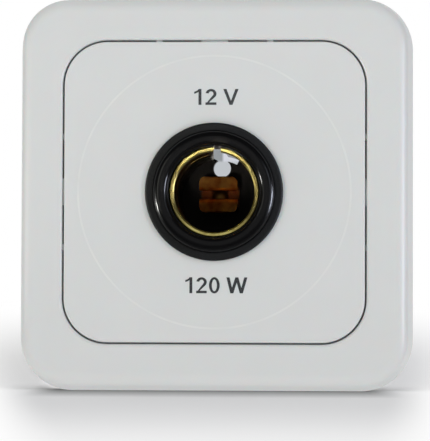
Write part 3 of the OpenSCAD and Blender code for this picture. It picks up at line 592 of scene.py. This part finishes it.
class SOCKET_OT_mouldings(bpy.types.Operator):
    """Finishes the frame and the centre plate"""

    bl_idname = "socket.mouldings"
    bl_label = "White mouldings"

    def execute(self, context):
        finish_nodes(moulded_white(context.scene.socket_colours.moulding), "frame", "centre_plate")
        return {"FINISHED"}


class SOCKET_OT_legends(bpy.types.Operator):
    """Prints the voltage above the socket and the power below it"""

    bl_idname = "socket.legends"
    bl_label = "Printed legends"

    def execute(self, context):
        sizes = context.scene.socket_sizes
        ink = printed_ink(context.scene.socket_colours.ink)
        for name, words, width, across, middle in (
            ("voltage_legend", "12 V", sizes.volt_width, sizes.volt_across, sizes.volt_rise),
            ("power_legend", "120 W", sizes.watt_width, sizes.watt_across, -sizes.watt_drop),
        ):
            legend = printed_legend(name, words, width, sizes.cap_height, across, middle, sizes.ink, ink)
            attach(legend, "root")
        return {"FINISHED"}


class SOCKET_OT_mouth(bpy.types.Operator):
    """Finishes the collar and barrel and the matt ring round them"""

    bl_idname = "socket.mouth"
    bl_label = "Black mouth"

    def execute(self, context):
        colours = context.scene.socket_colours
        finish_nodes(polished_phenolic(colours.gloss), "socket_body")
        finish_nodes(matt_rubber(colours.trim), "trim_ring")
        return {"FINISHED"}


class SOCKET_OT_thread(bpy.types.Operator):
    """Winds the thread's ridge round the barrel's core behind the nut"""

    bl_idname = "socket.thread"
    bl_label = "Barrel thread"

    def execute(self, context):
        sizes = context.scene.socket_sizes
        start = NUT_REAR - sizes.thread_pitch
        turns = (BODY_REAR - start) / sizes.thread_pitch - THREAD_FREE
        steps = int(turns * THREAD_POINTS)
        turn = np.linspace(0, turns, steps)[:, None]
        # The ridge's section: sunk foot, flank, narrow crest, flank, foot, as offsets out and along
        depth = sizes.thread_crest - sizes.thread_core
        out = np.array([-THREAD_SUNK, 0, depth, depth, 0, -THREAD_SUNK])
        along = np.array([-0.45, -0.45, -0.07, 0.07, 0.45, 0.45]) * sizes.thread_pitch
        # The ridge rises over the first half turn and falls over the last
        rise = np.clip(np.minimum(turn, turns - turn) * 2, 0.02, 1)
        radius = sizes.thread_core + np.where(out > 0, out * rise, out)
        angle = 2 * math.pi * turn
        y = start + 0.5 * sizes.thread_pitch + turn * sizes.thread_pitch + along
        points = np.stack([radius * np.cos(angle), y, radius * np.sin(angle)], -1)
        finish = NODES["socket_body"].material_slots[0].material
        thread = grid_piece("barrel_thread", points, finish, closed=True)
        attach(thread, "root")
        return {"FINISHED"}


class SOCKET_OT_contacts(bpy.types.Operator):
    """Finishes the sleeve, the centre contact, the base disc and the rivets"""

    bl_idname = "socket.contacts"
    bl_label = "Contacts"

    def execute(self, context):
        colours = context.scene.socket_colours
        finish_nodes(rolled_brass(colours.brass), "negative_sleeve")
        finish_nodes(spring_bronze(colours.bronze), "positive_contact")
        finish_nodes(pressed_laminate(colours.laminate), "base_disc")
        # The contact rivet's darker tone is painted shade deep in the slot
        finish_nodes(stamped_brass(colours.rivet), "contact_rivet")
        finish_nodes(stamped_brass(colours.terminal), "negative_rivet", "positive_terminal",
                     "negative_terminal")
        return {"FINISHED"}


class SOCKET_OT_metalwork(bpy.types.Operator):
    """Finishes the plated steel pieces and the rear housing"""

    bl_idname = "socket.metalwork"
    bl_label = "Metalwork and housing"

    def execute(self, context):
        colours = context.scene.socket_colours
        finish_nodes(zinc_plate(colours.zinc), "support_plate", "positive_wire_clamp", "positive_screw",
                     "negative_wire_clamp", "negative_screw", "housing_screw_upper", "housing_screw_lower",
                     "lock_washer", "retaining_nut")
        finish_nodes(glass_filled_nylon(colours.housing), "rear_housing")
        return {"FINISHED"}


class SOCKET_OT_stage(bpy.types.Operator):
    """Sets up the paper sweep, the light card, the lamps, the world and the camera"""

    bl_idname = "socket.stage"
    bl_label = "Stage"

    def execute(self, context):
        scene = context.scene
        self.sheets(scene.socket_colours.floor)
        self.lamps()
        self.world(scene)
        self.camera(scene, scene.socket_stage)
        scene.view_settings.view_transform = "Standard"
        return {"FINISHED"}

    def sheets(self, colour):
        """A floor that curves up into a backdrop: a straight run, a quarter circle and a straight rise,
        carried sideways. Then the sheet below the object's rear and the light card."""
        paper = stage_white(colour)
        turn = np.linspace(0, math.pi / 2, 24)
        wall = SWEEP_BEHIND + SWEEP_R
        y = np.concatenate([[SWEEP_FRONT], SWEEP_BEHIND + SWEEP_R * np.sin(turn), [wall]])
        z = np.concatenate([[0], SWEEP_R - SWEEP_R * np.cos(turn), [SWEEP_TOP]]) + FRAME_LOW[2]
        wide = (-SWEEP_HALF, SWEEP_HALF)
        sweep = np.array([[(x, *place) for x in wide] for place in zip(y, z)])
        sweep = grid_piece("paper_sweep", sweep, paper)
        # The second sheet carries the floor on below the object's rear, hidden from the stage's camera
        low = FRAME_LOW[2] - REAR_DROP
        rear = np.array([[(x, y, low) for x in wide] for y in (SWEEP_BEHIND, REAR_END)])
        rear = grid_piece("paper_behind", rear, paper)
        card = np.array([[(x, CARD_Y, z) for x in CARD_X] for z in CARD_Z])
        card = grid_piece("light_card", card, light_card())

    def lamps(self):
        """A tall soft box in front at each side, and beside each a strip that only draws highlights."""
        for name, place, size, power, colour, soft in LAMPS:
            lamp = bpy.data.lights.new(name, "AREA")
            lamp.shape = "RECTANGLE"
            lamp.size, lamp.size_y = size
            lamp.energy = power
            lamp.color = colour
            box = self.hang(lamp, place, -Vector(place))
            box.visible_diffuse = soft
        # A narrow beam from beside the camera reaches the contact at the bore's bottom and nothing else
        beam = bpy.data.lights.new("bore_spot", "SPOT")
        for key, value in BEAM.items():
            setattr(beam, key, value)
        self.hang(beam, BEAM_PLACE, Vector((0, CONTACT_Y, 0)) - Vector(BEAM_PLACE))

    def hang(self, data, place, aim):
        """Puts a lamp or camera at that place, facing along aim."""
        held = bpy.data.objects.new(data.name, data)
        held.location = place
        held.rotation_euler = aim.to_track_quat("-Z", "Y").to_euler()
        bpy.context.collection.objects.link(held)
        return held

    def world(self, scene):
        """A light tent: soft light for matt faces, more of it from the front. Glossy faces see a dim room in
        front of the object with a paler disc round the camera, and a brighter room behind it. The camera
        sees white."""
        world = bpy.data.worlds.new("studio_room")
        scene.world = world
        world.use_nodes = True
        tree = world.node_tree
        tree.nodes.clear()
        ray = add(tree, "ShaderNodeLightPath").outputs
        away = axes(tree, add(tree, "ShaderNodeTexCoord").outputs["Generated"])[1]
        room = compute(tree, "MAXIMUM", ramp(tree, away, ROOM_SPAN, *ROOM_LIGHT),
                       ramp(tree, away, DISC_SPAN, *DISC_LIGHT))
        light = between(tree, ray["Is Glossy Ray"], ramp(tree, away, TENT_SPAN, *TENT_LIGHT), room)
        seen = compute(tree, "MAXIMUM", ray["Is Camera Ray"], light)
        tent = add(tree, "ShaderNodeBackground", {"Color": (1, 1, 1, 1), "Strength": seen})
        add(tree, "ShaderNodeOutputWorld", {"Surface": tent.outputs[0]})

    def camera(self, scene, stage):
        """Aims at a point of the plate's front from the stated angles, with the lens that shows the stated
        height at that distance."""
        azimuth, elevation = stage.azimuth, stage.elevation
        aim = Vector((stage.aim_x, FIELD_Y, stage.aim_z))
        away = Vector((math.sin(azimuth) * math.cos(elevation), -math.cos(azimuth) * math.cos(elevation),
                       math.sin(elevation)))
        lens = bpy.data.cameras.new("camera")
        lens.sensor_width = 36
        lens.lens = lens.sensor_width * stage.distance / stage.view_height
        lens.clip_start = 5 * MM
        camera = self.hang(lens, aim + away * stage.distance, -away)
        camera.rotation_euler.rotate_axis("Z", stage.roll)
        scene.camera = camera


class SOCKET_PT_panel(bpy.types.Panel):
    """Lists the steps that dress the socket"""

    bl_idname = "SOCKET_PT_panel"
    bl_label = "Socket"
    bl_space_type = "VIEW_3D"
    bl_region_type = "UI"
    bl_category = "Socket"

    def draw(self, context):
        for step in STEPS:
            self.layout.operator(step.bl_idname)


STEPS = (SOCKET_OT_stage, SOCKET_OT_mouldings, SOCKET_OT_legends, SOCKET_OT_mouth, SOCKET_OT_thread,
         SOCKET_OT_contacts, SOCKET_OT_metalwork)
GROUPS = {"socket_sizes": SocketSizes, "socket_colours": SocketColours, "socket_stage": SocketStage}


def register():
    for group in GROUPS.values():
        bpy.utils.register_class(group)
    for name, group in GROUPS.items():
        setattr(bpy.types.Scene, name, bpy.props.PointerProperty(type=group))
    for step in STEPS:
        bpy.utils.register_class(step)
    bpy.utils.register_class(SOCKET_PT_panel)


def unregister():
    bpy.utils.unregister_class(SOCKET_PT_panel)
    for step in STEPS:
        bpy.utils.unregister_class(step)
    for name in GROUPS:
        delattr(bpy.types.Scene, name)
    for group in GROUPS.values():
        bpy.utils.unregister_class(group)


def main():
    register()
    for step in STEPS:
        group, name = step.bl_idname.split(".")
        getattr(getattr(bpy.ops, group), name)()


if __name__ == "__main__":
    main()
